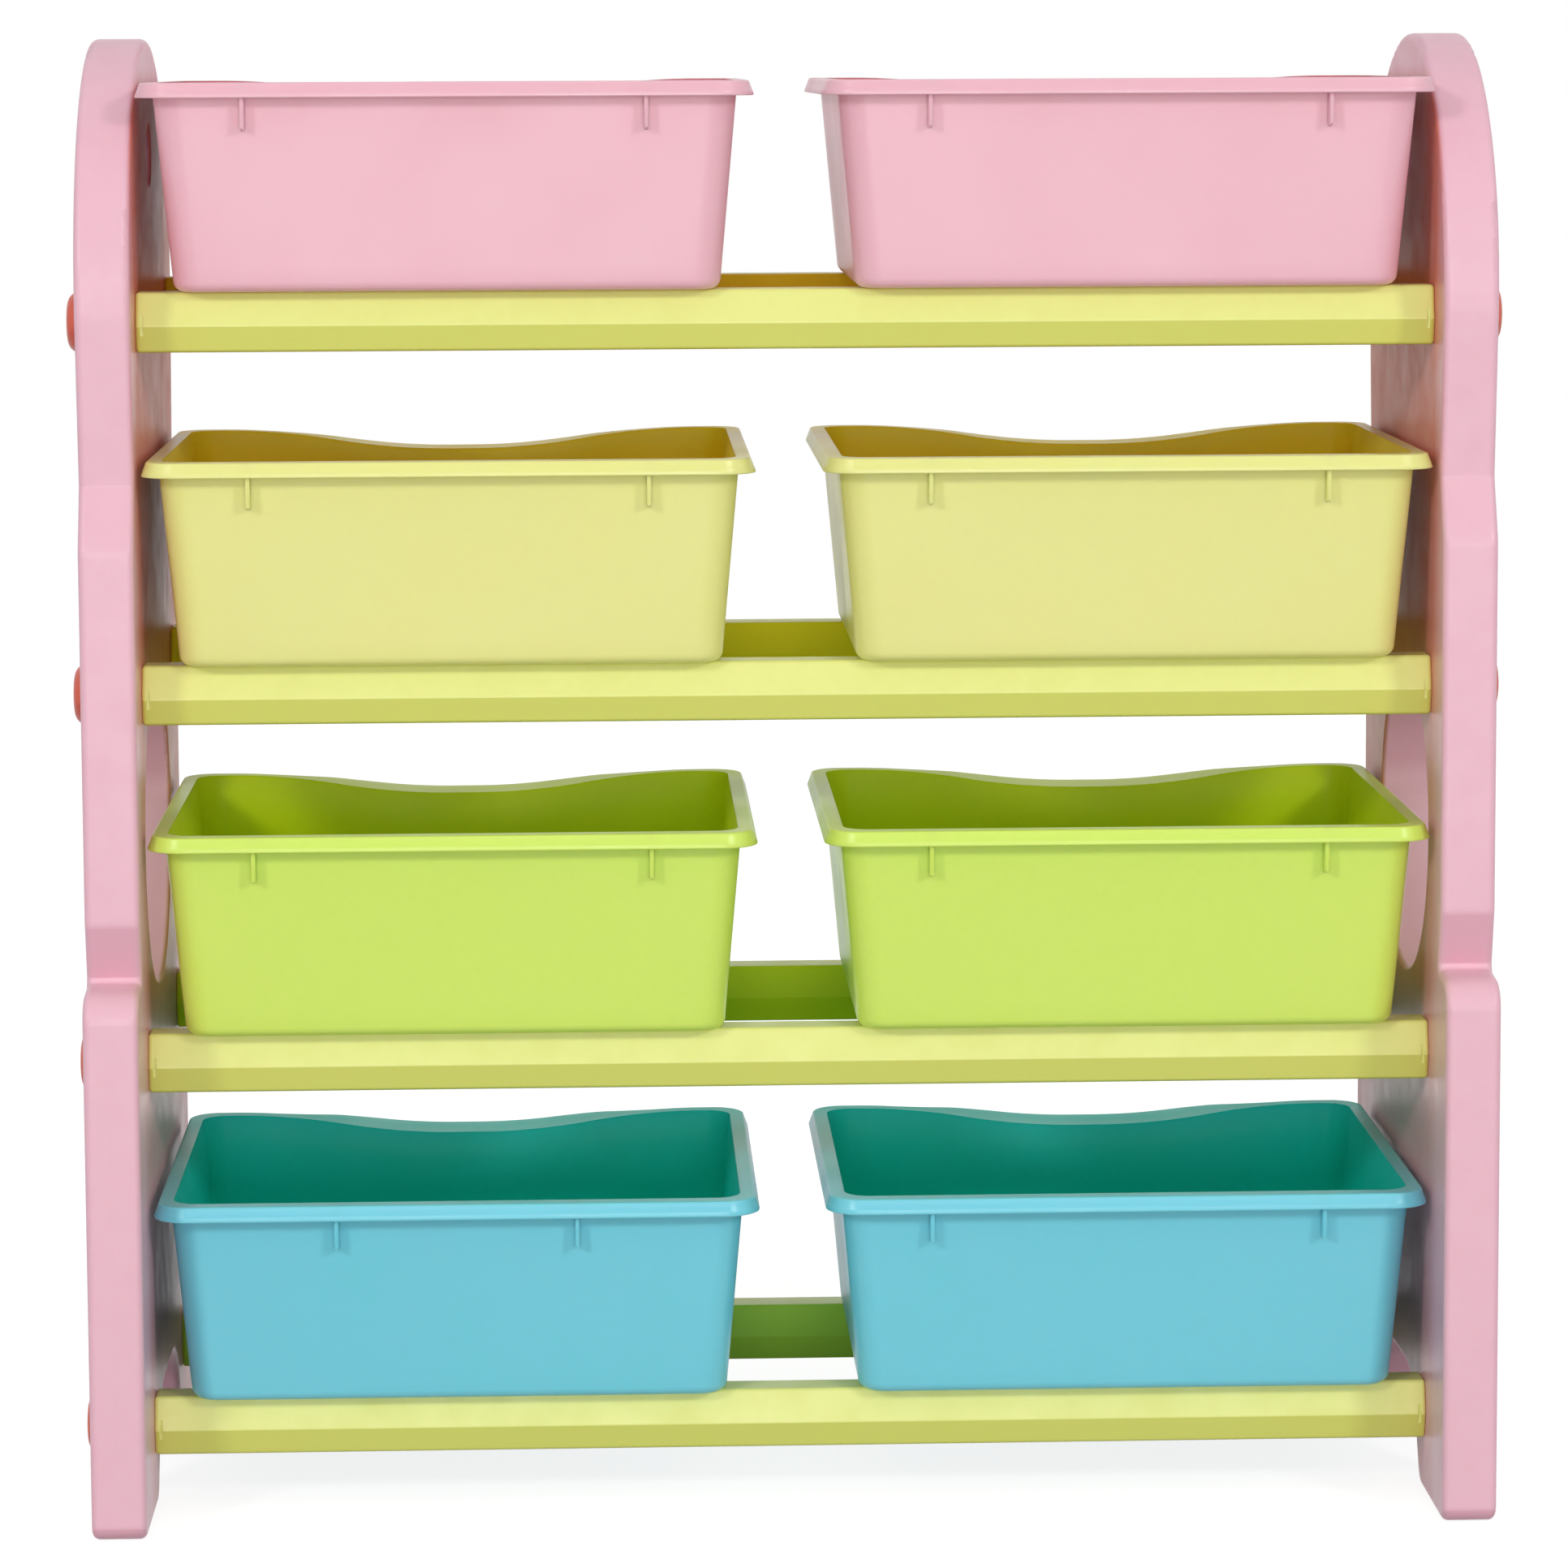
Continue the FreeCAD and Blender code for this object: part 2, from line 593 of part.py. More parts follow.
def make_tub(label, inset, floor):
    """A solid with a bin's leaning walls and rounded bottom, moved in by the wall; the top stays open."""
    body = doc.addObject("PartDesign::Body", label)
    sketches = []
    for name, height, lean in (("top", bin_height, 0), ("bottom", floor, 1)):
        sketch = body_sketch(body, f"{label}_{name}", "XY_Plane", height)
        half_width = wall_half_width - inset - from_sheet("side_draft") * lean
        half_depth = wall_half_depth - inset - from_sheet("front_draft") * lean
        outline(sketch, block(-half_width, half_width, -half_depth, half_depth,
                              from_sheet("wall_rounding") - inset))
        sketches.append(sketch)
    loft = body.newObject("PartDesign::AdditiveLoft", label + "_walls")
    loft.Profile = sketches[0]
    loft.Sections = [sketches[1]]
    loft.Ruled = True
    doc.recompute()
    level = as_size(floor).number
    fillet(body, loft, label + "_bottom_edge", from_sheet("bottom_rounding") - inset,
           lambda edge: lies_at(edge, "Z", level))
    return body


def free_sketch(name, corners, turn, place):
    """A sketch outside any body, turned by a rotation and moved by three Sizes."""
    sketch = doc.addObject("Sketcher::SketchObject", name)
    sketch.Placement = FreeCAD.Placement(FreeCAD.Vector(), turn)
    for axis, size in zip("xyz", place):
        bind(sketch, "Placement.Base." + axis, size)
    outline(sketch, corners)
    return sketch


def extrude(name, sketch, direction, length):
    """A solid drawn out of a sketch in a fixed direction."""
    solid = doc.addObject("Part::Extrusion", name)
    solid.Base = sketch
    solid.DirMode = "Custom"
    solid.Dir = direction
    solid.Solid = True
    bind(solid, "LengthFwd", length)
    return solid


def box(name, low, high):
    """A block between two corners given as Sizes."""
    solid = doc.addObject("Part::Box", name)
    for axis, size, start, end in zip("xyz", ("Length", "Width", "Height"), low, high):
        bind(solid, "Placement.Base." + axis, start)
        bind(solid, size, end - start)
    return solid


def combine(kind, name, shapes):
    """Part::Cut or Part::Common of two objects, or Part::MultiFuse of several."""
    solid = doc.addObject(kind, name)
    if kind == "Part::MultiFuse":
        solid.Shapes = shapes
        solid.Refine = True
    else:
        solid.Base, solid.Tool = shapes
    return solid


UPRIGHT = FreeCAD.Rotation(FreeCAD.Vector(1, 0, 0), 90)
SIDEWAYS = FreeCAD.Rotation(FreeCAD.Vector(1, 1, 1), 120)
FLAT = FreeCAD.Rotation()


def dip_line(height):
    """The rear rim's line seen from behind, left to right: high, down an easy curve, low, and up again."""
    outer, inner = from_sheet("scoop_outer"), from_sheet("scoop_inner")
    drop, easy = from_sheet("scoop_drop"), from_sheet("scoop_rounding")
    edge = bin_half_width + 1
    return [(-edge, height, None), (-outer, height, easy), (-inner, height - drop, easy),
            (inner, height - drop, easy), (outer, height, easy), (edge, height, None)]


def rim_outline(inset):
    """Corners of the rim seen from above, moved in by a Size: a rectangle with a pull lip at the rear."""
    wide, deep = bin_half_width - inset, bin_half_depth - inset
    corner, easy = from_sheet("rim_rounding") - inset, from_sheet("lip_rounding")
    outer, inner = from_sheet("lip_outer"), from_sheet("lip_inner")
    reach = deep + from_sheet("lip_reach")
    return [(-wide, -deep, corner), (wide, -deep, corner), (wide, deep, corner), (outer, deep, easy),
            (inner, reach, easy), (-inner, reach, easy), (-outer, deep, easy), (-wide, deep, corner)]


def rim_layer(label, inset, low, high):
    """A slice of the rim between two depths below its top, which follows the dip at the rear."""
    plan = extrude(label + "_plan", free_sketch(label + "_plan_outline", rim_outline(inset), FLAT,
                                                (ZERO, ZERO, ZERO)),
                   FreeCAD.Vector(0, 0, 1), bin_height + 1)
    edge = bin_half_width + 1
    front = box(label + "_front", (-edge, -(bin_half_depth + 1), bin_height - low),
                (edge, split, bin_height - high))
    band = dip_line(bin_height - high) + list(reversed(dip_line(bin_height - low)))
    rear = extrude(label + "_rear", free_sketch(label + "_rear_outline", band, UPRIGHT, (ZERO, split, ZERO)),
                   FreeCAD.Vector(0, 1, 0), bin_half_depth * 2)
    levels = combine("Part::MultiFuse", label + "_levels", [front, rear])
    return combine("Part::Common", label, [plan, levels])


def make_bin_solid():
    """A bin without its ribs, not yet hollowed, on the Z axis with its bottom at Z = 0, and its hollow."""
    wall, lip = from_sheet("bin_wall"), from_sheet("lip_height")
    tub = make_tub("tub", ZERO, ZERO)
    hollow = make_tub("tub_hollow", wall, from_sheet("bin_floor"))
    rim = combine("Part::Cut", "rim", [rim_layer("rim_block", ZERO, lip, ZERO),
                                       rim_layer("rim_underside", wall, lip + 1, wall)])
    edge = bin_half_width + 1
    above_dip = dip_line(bin_height) + [(edge, bin_height + 2, None), (-edge, bin_height + 2, None)]
    waste = extrude("above_dip", free_sketch("above_dip_outline", above_dip, UPRIGHT, (ZERO, split, ZERO)),
                    FreeCAD.Vector(0, 1, 0), bin_half_depth * 2)
    trimmed = combine("Part::Cut", "tub_trimmed", [tub, waste])
    return combine("Part::MultiFuse", "tub_with_rim", [trimmed, rim]), hollow


def make_gusset(label, across):
    """One upright rib on the front wall, up to the underside of the rim."""
    half = from_sheet("gusset_thickness") / 2
    near = -(wall_half_depth - from_sheet("gusset_root"))
    far = -(wall_half_depth + from_sheet("gusset_depth"))
    top = bin_height - from_sheet("bin_wall") / 2
    foot = bin_height - from_sheet("lip_height") - from_sheet("gusset_drop")
    corners = [(near, top, None), (far, top, None), (far, foot + from_sheet("gusset_slant"), None),
               (near, foot, None)]
    sketch = free_sketch(label + "_outline", corners, SIDEWAYS, (across - half, ZERO, ZERO))
    return extrude(label, sketch, FreeCAD.Vector(1, 0, 0), from_sheet("gusset_thickness"))


def make_bin_pattern(label, solid, hollow, spacing):
    """A whole bin on the Z axis, its two ribs a given distance apart."""
    ribs = [make_gusset(f"{label}_rib_{name}", spacing * side / 2) for name, side in SIDES]
    ribbed = combine("Part::MultiFuse", label + "_solid", [solid] + ribs)
    return combine("Part::Cut", label, [ribbed, hollow])


# ---------------------------------------------------------------------------------------------
# Assembly
# ---------------------------------------------------------------------------------------------

right_panel = make_panel("right_side_panel")
pieces = [make_mirror_image("left_side_panel", right_panel), right_panel]

rail = make_rail()
for tier, name in enumerate(TIERS):
    pieces.append(place_copy(f"{name}_front_rail", rail, (ZERO, front_rail_front, seat(tier))))
    pieces.append(place_copy(f"{name}_rear_rail", rail, (ZERO, rear_rail_front, seat(tier))))

screw = make_screw()
for name, side in SIDES:
    pieces.append(make_screw_set(f"{name}_front_screws", side, front_rail_front, screw))
    pieces.append(make_screw_set(f"{name}_rear_screws", side, rear_rail_front, screw))

solid, hollow = make_bin_solid()
wide_ribs = make_bin_pattern("bin_with_wide_ribs", solid, hollow, from_sheet("gusset_spacing"))
narrow_ribs = make_bin_pattern("bin_with_narrow_ribs", solid, hollow, from_sheet("gusset_spacing_narrow"))
bin_middle = inner_face - from_sheet("side_gap") - bin_half_width
bin_centre = front_rail_front - from_sheet("front_overhang") + bin_half_depth
for tier, tier_name in enumerate(TIERS):
    for side_name, side in SIDES:
        label = f"{tier_name}_{side_name}_bin"
        pattern = narrow_ribs if label == "bottom_left_bin" else wide_ribs
        place = (bin_middle * side, bin_centre, seat(tier) + from_sheet("bin_rest"))
        pieces.append(place_copy(label, pattern, place))

doc.recompute()

for thing in doc.Objects:
    if "Invalid" in thing.State or "Error" in thing.State:
        raise RuntimeError(f"{thing.Label} did not build: {thing.State}")
for pattern in (right_panel, rail, screw, wide_ribs, narrow_ribs):
    if len(pattern.Shape.Solids) != 1 or not pattern.Shape.isValid():
        raise RuntimeError(f"{pattern.Label} is not one valid solid")

os.makedirs("parts", exist_ok=True)
for piece in pieces:
    shape = Part.getShape(piece)
    if shape.isNull() or not shape.Solids:
        raise RuntimeError(f"{piece.Label} has no shape")
    shape.exportStep(f"parts/{piece.Label}.step")
    print(piece.Label, len(shape.Solids))
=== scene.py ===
"""Looks of the four-tier toy bin organizer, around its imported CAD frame. Metres, the front faces -Y."""
import math

import bpy
import numpy as np
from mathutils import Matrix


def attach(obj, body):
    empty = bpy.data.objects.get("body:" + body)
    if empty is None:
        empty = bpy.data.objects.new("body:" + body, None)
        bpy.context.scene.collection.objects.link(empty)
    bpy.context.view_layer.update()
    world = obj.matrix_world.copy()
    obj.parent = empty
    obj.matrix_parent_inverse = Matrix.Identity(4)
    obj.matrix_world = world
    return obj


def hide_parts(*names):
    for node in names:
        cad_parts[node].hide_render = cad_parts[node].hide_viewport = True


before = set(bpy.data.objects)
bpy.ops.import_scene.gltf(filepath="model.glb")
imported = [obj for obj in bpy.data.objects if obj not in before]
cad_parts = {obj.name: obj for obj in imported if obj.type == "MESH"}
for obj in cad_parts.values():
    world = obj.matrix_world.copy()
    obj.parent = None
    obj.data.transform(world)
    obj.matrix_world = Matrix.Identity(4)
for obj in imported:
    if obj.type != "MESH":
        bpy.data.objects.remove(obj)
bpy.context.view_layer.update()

# ==============================================================================================
# Bins
# Eight open tubs that stand on the rails: pink at the top, then yellow, green and blue.
# Injection-moulded polypropylene, so one even wall with leaning sides, a turned-down rim that is
# rounded where the mould lets go, two ribs under the front rim and a dipped pull lip at the rear.
# ==============================================================================================

bin_height = 0.124
bin_wall, bin_floor = 0.0022, 0.0026
rim_half_width, rim_half_depth, rim_corner = 0.183, 0.150, 0.022
wall_half_width, wall_half_depth, wall_corner = 0.1735, 0.138, 0.017
side_draft, front_draft = 0.011, 0.009
lip_height = 0.009
rim_soft, lip_soft, mouth_soft, rim_flare = 0.0016, 0.0008, 0.0012, 0.0025
rim_fillet, wall_fillet = 0.0006, 0.0008
bottom_outside, bottom_inside, tightest_corner = 0.006, 0.0038, 0.004
floor_rings = (0.15, 0.45, 0.75, 0.93)
front_steps, side_steps, rear_steps, corner_steps = 40, 34, 112, 14
rear_side = 0.99
dip_depth, dip_start, dip_end = 0.0125, 0.152, 0.008
pull_reach, pull_start, pull_end = 0.024, 0.130, 0.055
wall_sink = 0.0006
first_seat, tier_pitch, bin_rest = 0.071, 0.224, 0.0003
bin_middle, bin_centre = 0.203, -0.004
rib_height, rib_depth, rib_slant = 0.020, 0.008, 0.002
rib_thickness, rib_soft, rib_half_size = 0.0026, 0.0004, 0.006
rib_spacing, close_rib_spacing = 0.238, 0.145


def walk_round(front, side, rear, corner):
    """One turn round a rounded rectangle, seen from above and anticlockwise from the front left.

    Each quarter is a straight run and a bend, and every quarter is the one before turned 90 degrees.
    Returns complex numbers: the place on the square from -1 to 1, and the direction the wall faces."""
    places, facings = [], []
    for quarter, count in enumerate((front, side, rear, side)):
        along = np.linspace(-1, 1, count, endpoint=False)
        bend = np.linspace(0, math.pi / 2, corner, endpoint=False)
        spots = np.concatenate([along - 1j, np.full(corner, 1 - 1j)])
        turns = np.concatenate([np.zeros(count), bend]) - math.pi / 2
        places.append(spots * 1j ** quarter)
        facings.append(np.exp(1j * turns) * 1j ** quarter)
    return np.concatenate(places), np.concatenate(facings)


def ease(distance, start, end):
    """0 beyond start and 1 within end, with two parabolas that meet halfway: an S of moulded plastic."""
    share = np.clip((start - distance) / (start - end), 0, 1)
    return np.where(share < 0.5, 2 * share ** 2, 1 - 2 * (1 - share) ** 2)


def bend_levels(radius, steps, inset, height, convex_top):
    """A quarter bend of the section as (inset, height) rows, from lying flat to standing upright.

    inset shrinks by radius * sin, height changes by radius * (1 - cos)."""
    angle = np.linspace(0, math.pi / 2, steps)
    rise = -radius * (1 - np.cos(angle)) if convex_top else radius * (1 - np.cos(angle))
    return np.stack([inset + radius * (1 - np.sin(angle)), height + rise], axis=1)


def bin_section():
    """The wall's section from the middle of the floor inside, up, over the rim and back under the floor.

    Each row is (scale towards the middle, share of the rim's plan, inset from that plan, height). The
    rim's skirt leans outwards on its way down, and its foot is rounded on both sides."""
    rows = []

    def put(scale, share, pairs):
        for inset, height in pairs:
            rows.append((scale, share, inset, height))

    for scale in floor_rings:
        put(scale, 0, [(bin_wall + bottom_inside, bin_floor)])
    put(1, 0, bend_levels(bottom_inside, 8, bin_wall, bin_floor, False))
    for height in np.linspace(bin_floor + bottom_inside, bin_height - mouth_soft, 12)[1:-1]:
        put(1, 0, [(bin_wall, height)])
    put(1, 0, bend_levels(mouth_soft, 5, bin_wall, bin_height, True)[::-1] - [[mouth_soft, 0]])
    put(1, 0.5, [(0, bin_height)])
    put(1, 1, bend_levels(rim_soft, 7, rim_flare, bin_height, True))
    down_the_skirt = 0.6
    put(1, 1, [(rim_flare * (1 - down_the_skirt), bin_height - lip_height * down_the_skirt)])
    lip_foot = bin_height - lip_height
    half_bend = lip_soft * 0.3
    put(1, 1, [(0, lip_foot + lip_soft), (half_bend, lip_foot + half_bend), (lip_soft, lip_foot)])
    put(1, 1, [(bin_wall - lip_soft, lip_foot), (bin_wall - half_bend, lip_foot + half_bend),
               (bin_wall, lip_foot + lip_soft)])
    under, ceiling = bin_wall + rim_flare, bin_height - bin_wall
    put(1, 1, [(under, ceiling - rim_fillet), (under + rim_fillet, ceiling)])
    put(1, 0, [(-wall_fillet, ceiling), (0, ceiling - wall_fillet)])
    for height in np.linspace(ceiling - wall_fillet, bottom_outside, 14)[1:-1]:
        put(1, 0, [(0, height)])
    put(1, 0, bend_levels(bottom_outside, 9, 0, 0, False)[::-1])
    for scale in floor_rings[::-1]:
        put(scale, 0, [(bottom_outside, 0)])
    return np.array(rows)


def plan(places, facings, half_width, half_depth, corner):
    """A rounded rectangle: the corner's centre, which scales with the place, plus the corner's radius."""
    across = places.real * (half_width - corner) + facings.real * corner
    deep = places.imag * (half_depth - corner) + facings.imag * corner
    return across, deep


def tub_surface():
    """Vertices and faces of one tub: every section row carried round the plan, closed in the middle.

    Between wall and rim the plan is a straight mix of both. Behind, the rim's plan bows out by the pull
    lip and all heights sink by the dip, in proportion to their height on the wall and fully on the rim.
    The walls' middles sink in by a hair, as moulded walls do."""
    places, facings = walk_round(front_steps, side_steps, rear_steps, corner_steps)
    scale, share, inset, height = (column[:, None] for column in bin_section().T)
    lean = 1 - np.clip(height / bin_height, 0, 1)
    hollow = 2 - places.real ** 2 - places.imag ** 2
    sink = wall_sink * np.sin(math.pi * (1 - lean)) * hollow * (1 - share)
    inner = inset + sink
    wall_x, wall_y = plan(places, facings, wall_half_width - side_draft * lean - inner,
                          wall_half_depth - front_draft * lean - inner,
                          np.maximum(wall_corner - inset, tightest_corner))
    rim_x, rim_y = plan(places, facings, rim_half_width - inset, rim_half_depth - inset,
                        rim_corner - inset)
    behind = places.imag > rear_side
    rim_y = rim_y + np.where(behind, pull_reach * ease(np.abs(rim_x), pull_start, pull_end), 0)
    x = (wall_x * (1 - share) + rim_x * share) * scale
    y = (wall_y * (1 - share) + rim_y * share) * scale
    fall = np.where(behind, dip_depth * ease(np.abs(x), dip_start, dip_end), 0)
    z = height - fall * np.where(share > 0, 1, height / bin_height)
    rings, around = x.shape
    points = np.stack([x, y, z + 0 * x], axis=2).reshape(-1, 3)
    ends = [[0, 0, bin_floor], [0, 0, 0]]
    points = np.concatenate([points, ends])

    number = np.arange(rings * around).reshape(rings, around)
    following = np.roll(number, -1, axis=1)
    quads = np.stack([number[:-1], number[1:], following[1:], following[:-1]], axis=2).reshape(-1, 4)
    first = np.stack([following[0], np.full(around, rings * around), number[0]], axis=1)
    last = np.stack([number[-1], np.full(around, rings * around + 1), following[-1]], axis=1)
    return points, quads, np.concatenate([first, last])


def rib_surface(across):
    """One rib on the front wall: its outline, shrunk a little at both faces, carried across the bin.

    Its root follows the wall's lean, half a wall deep."""
    top, foot = bin_height - bin_wall * 0.5, bin_height - lip_height - rib_height
    root = -(wall_half_depth - bin_wall * 0.5)
    far = -(wall_half_depth + rib_depth)
    outline = np.array([[root, top], [far, top], [far, foot + rib_slant],
                        [root + front_draft * (1 - foot / bin_height), foot]])
    middle = outline.mean(axis=0)
    half = rib_thickness / 2
    layers = [(-half, rib_soft), (-half + rib_soft, 0), (half - rib_soft, 0), (half, rib_soft)]
    rings = []
    for offset, shrink in layers:
        ring = middle + (outline - middle) * (1 - shrink / rib_half_size)
        rings.append(np.column_stack([np.full(4, across + offset), ring]))
    points = np.concatenate(rings)
    number = np.arange(16).reshape(4, 4)
    following = np.roll(number, -1, axis=1)
    quads = np.stack([number[:-1], following[:-1], following[1:], number[1:]], axis=2).reshape(-1, 4)
    return points, np.concatenate([quads, [number[0][::-1], number[-1]]])


def build_mesh(name, points, faces, smooth_angle):
    """A mesh object at the origin from vertex rows and a list of faces, smooth up to the given angle."""
    mesh = bpy.data.meshes.new(name)
    mesh.from_pydata(points.tolist(), [], faces)
    mesh.validate()
    mesh.shade_smooth()
    mesh.set_sharp_from_angle(angle=math.radians(smooth_angle))
    thing = bpy.data.objects.new(name, mesh)
    bpy.context.scene.collection.objects.link(thing)
    return thing


def linear(hexadecimal):
    """An sRGB hex colour as linear red, green, blue and alpha."""
    parts = [int(hexadecimal[at:at + 2], 16) / 255 for at in (1, 3, 5)]
    return [part / 12.92 if part <= 0.04045 else ((part + 0.055) / 1.055) ** 2.4 for part in parts] + [1]


def add(tree, kind, inputs=None, **settings):
    """Adds one node to a tree, with its settings, and its inputs as values or as sockets to link from."""
    made = tree.nodes.new(kind)
    for name, value in settings.items():
        setattr(made, name, value)
    for name, value in (inputs or {}).items():
        if isinstance(value, bpy.types.NodeSocket):
            tree.links.new(value, made.inputs[name])
        else:
            made.inputs[name].default_value = value
    return made


def empty_material(name):
    """A new material whose node tree holds nothing yet, and that tree."""
    made = bpy.data.materials.new(name)
    made.use_nodes = True
    made.node_tree.nodes.clear()
    return made, made.node_tree


flow_length, ripple_width = 0.0625, 0.004


def polypropylene(name, shade, deep):
    """Gloss polypropylene, injection-moulded: a clear sheen over a body that lets a little light through.

    Faint flow marks 60 mm long and a fine ripple 4 mm wide break the highlights; where the mesh's shade
    attribute is set, in the hollows, the colour is painted deeper, a painted shade, with less sheen."""
    made, tree = empty_material(name)
    place = add(tree, "ShaderNodeTexCoord").outputs["Object"]
    flow = add(tree, "ShaderNodeTexNoise", {"Vector": place, "Scale": 1 / flow_length, "Detail": 3.0,
                                            "Roughness": 0.5})
    ripple = add(tree, "ShaderNodeTexNoise", {"Vector": place, "Scale": 1 / ripple_width, "Detail": 2.0})
    # Painted shade: the mesh's attribute says how far to mix towards the deeper colour and to drop the
    # sheen.
    painted_shade_amount = add(tree, "ShaderNodeAttribute", attribute_name="painted_shade")
    drift = add(tree, "ShaderNodeMapRange", {
        "Value": flow.outputs["Fac"], "From Min": 0.3, "From Max": 0.7, "To Min": 0.0, "To Max": 0.05})
    share = add(tree, "ShaderNodeMath", {0: painted_shade_amount.outputs["Fac"], 1: drift.outputs["Result"]},
                operation="ADD", use_clamp=True)
    colour = add(tree, "ShaderNodeMix", {0: share.outputs[0], 6: linear(shade), 7: linear(deep)},
                 data_type="RGBA")
    gloss = add(tree, "ShaderNodeMapRange", {
        "Value": flow.outputs["Fac"], "From Min": 0.3, "From Max": 0.7, "To Min": 0.285, "To Max": 0.37})
    relief = add(tree, "ShaderNodeMath", {0: ripple.outputs["Fac"], 1: 0.25, 2: flow.outputs["Fac"]},
                 operation="MULTIPLY_ADD")
    bump = add(tree, "ShaderNodeBump", {"Height": relief.outputs[0], "Strength": 0.06, "Distance": 0.002})
    sheen = add(tree, "ShaderNodeMapRange", {"Value": painted_shade_amount.outputs["Fac"], "To Min": 0.5, "To Max": 0.0})
    shader = add(tree, "ShaderNodeBsdfPrincipled", {
        "Base Color": colour.outputs[2], "Roughness": gloss.outputs["Result"], "IOR": 1.49,
        "Specular IOR Level": sheen.outputs["Result"], "Normal": bump.outputs["Normal"],
        "Subsurface Weight": 0.6, "Subsurface Radius": (1, 1, 1), "Subsurface Scale": 0.005})
    add(tree, "ShaderNodeOutputMaterial", {"Surface": shader.outputs["BSDF"]})
    return made


# Painted shade inside the bins and on the rear of the rim's top: how much of the deeper colour each takes.
wall_painted_shade, foot_painted_shade = 0.82, 0.18
rim_painted_shade, rim_fade, rim_top_rows = 0.9, 1.5, 5
crease_angle = 50


def make_bin(name, side, tier, spacing, material):
    """One bin in its bay: tub and ribs in one mesh.

    A point attribute holds the painted shade, how much deeper the colour is painted: on the inner wall it
    grows with the square root of the way down, the rim's top takes it from the front, where it is 0, to the
    rear, and outside it is 0."""
    points, quads, fans = tub_surface()
    faces = quads.tolist() + fans.tolist()
    for across in (-spacing / 2, spacing / 2):
        rib_points, rib_faces = rib_surface(across)
        faces += (rib_faces + len(points)).tolist()
        points = np.concatenate([points, rib_points])
    place = np.array([bin_middle * side, bin_centre, first_seat + tier_pitch * tier + bin_rest])
    made = build_mesh(name, points + place, faces, crease_angle)
    painted_shade = np.zeros(len(points))
    section = bin_section()
    around = len(quads) // (len(section) - 1)
    mouth = int(np.argmax(section[:, 3]))
    low = np.clip(1 - section[:mouth, 3] / bin_height, 0, 1)
    painted_shade[:mouth * around] = np.repeat(wall_painted_shade + foot_painted_shade * low ** 0.5, around)
    painted_shade[len(section) * around] = 1
    rim_top = slice(mouth * around, (mouth + rim_top_rows) * around)
    back = np.clip(points[rim_top, 1] / (2 * rim_half_depth) + 0.5, 0, 1)
    painted_shade[rim_top] = rim_painted_shade * back ** rim_fade
    attribute = made.data.attributes.new("painted_shade", "FLOAT", "POINT")
    attribute.data.foreach_set("value", painted_shade)
    made.data.materials.append(material)
    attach(made, name + "_body")
    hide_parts(name)
    made.name = name + "_shell"


# Each tier: name, slot, colour, and a deeper colour for the flow marks' tone and the painted shade inside.
bin_tiers = (
    ("bottom", "bin_blue", "#78D0E3", "#08D8CA"),
    ("lower", "bin_green", "#D2EC69", "#D0E803"),
    ("upper", "bin_yellow", "#E7E893", "#FADC04"),
    ("top", "bin_pink", "#EBB8C4", "#E08F94"),
)
for tier, (tier_name, slot, shade, deep) in enumerate(bin_tiers):
    moulded = polypropylene("moulded_polypropylene_" + slot, shade, deep)
    for side_name, side in (("left", -1), ("right", 1)):
        spacing = close_rib_spacing if (tier_name, side_name) == ("bottom", "left") else rib_spacing
        make_bin(f"{tier_name}_{side_name}_bin", side, tier, spacing, moulded)

# ==============================================================================================
# Side panels
# Two hollow shells of pink polyethylene, blow-moulded, so all their edges are soft, the skin has the
# fine grain of a blasted mould, and a faint parting line runs round the middle of the edge. Their inner
# faces carry painted light: a warm orange, as of light that has passed the bins.
# ==============================================================================================

panel_middle, inner_face = 0.4055, 0.389
# Painted light on the panels' inner faces: its orange, its share low and high up, and the bounds of its
# place.
painted_light_orange, painted_light_least, painted_light_most = "#DE7440", 0.2, 0.75
warm_outside, warm_inside = inner_face + 0.0022, inner_face + 0.0004
warm_front, warm_rear = -0.155, -0.120
warm_ceiling, warm_top, warm_high, warm_low = 0.875, 0.850, 0.60, 0.15
wave_length, mottle_size, grain_size = 1 / 9, 1 / 45, 1 / 1600
seam_half_width, seam_height, grain_height = 0.0005, 0.12, 0.03


def painted_light_between_tiers(tree, place):
    """0 to 1: how much painted light, a warm colour as of light that has passed plastic, the side panels'
    inner faces take.

    It is the product of four ramps: it sets in on the inner face itself, behind its front edge and below
    the top rims, and grows upwards."""
    parts = add(tree, "ShaderNodeSeparateXYZ", {"Vector": place}).outputs
    apart = add(tree, "ShaderNodeMath", {0: parts["X"]}, operation="ABSOLUTE")
    ramps = ((apart.outputs[0], warm_outside, warm_inside, 0, 1),
             (parts["Y"], warm_front, warm_rear, 0, 1),
             (parts["Z"], warm_ceiling, warm_top, 0, 1),
             (parts["Z"], warm_low, warm_high, painted_light_least, painted_light_most))
    share = 1.0
    for value, start, end, low, high in ramps:
        ramp = add(tree, "ShaderNodeMapRange", {"Value": value, "From Min": start, "From Max": end,
                                                "To Min": low, "To Max": high})
        share = add(tree, "ShaderNodeMath", {0: ramp.outputs["Result"], 1: share},
                    operation="MULTIPLY").outputs[0]
    return share


